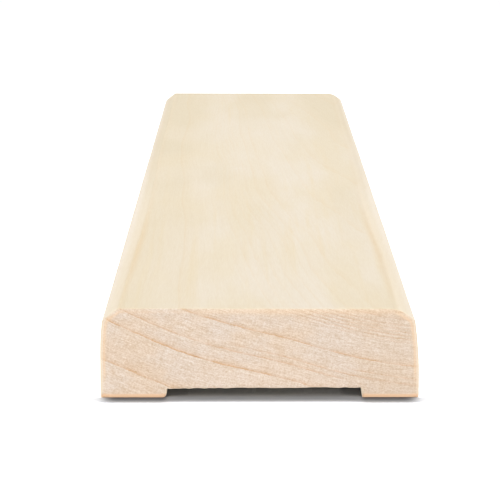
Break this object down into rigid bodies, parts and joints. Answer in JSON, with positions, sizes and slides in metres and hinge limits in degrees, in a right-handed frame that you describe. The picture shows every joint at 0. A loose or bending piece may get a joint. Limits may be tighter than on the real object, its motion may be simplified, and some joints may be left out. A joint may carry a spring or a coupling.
{
  "type": "door trim strip",
  "caption": "Straight length of solid pale wood door casing with a flat show face, softened chamfers along both long edges and a shallow relief between two lands on its back.",
  "frame": {"origin": "middle of the back, half-way along the strip, on the plane of the two lands it lies on", "axes": "+Y along the grain and the length, +Z out of the show face, +X across the width towards the narrower land"},
  "size_m": [0.0572, 0.3048, 0.0165],
  "materials": {
    "casing_wood": "bare planed pale hardwood, sanded smooth, unfinished, with fine end grain on the two sawn ends"
  },
  "bodies": {
    "root": {"casing_strip": "casing_wood"}
  },
  "joints": []
}
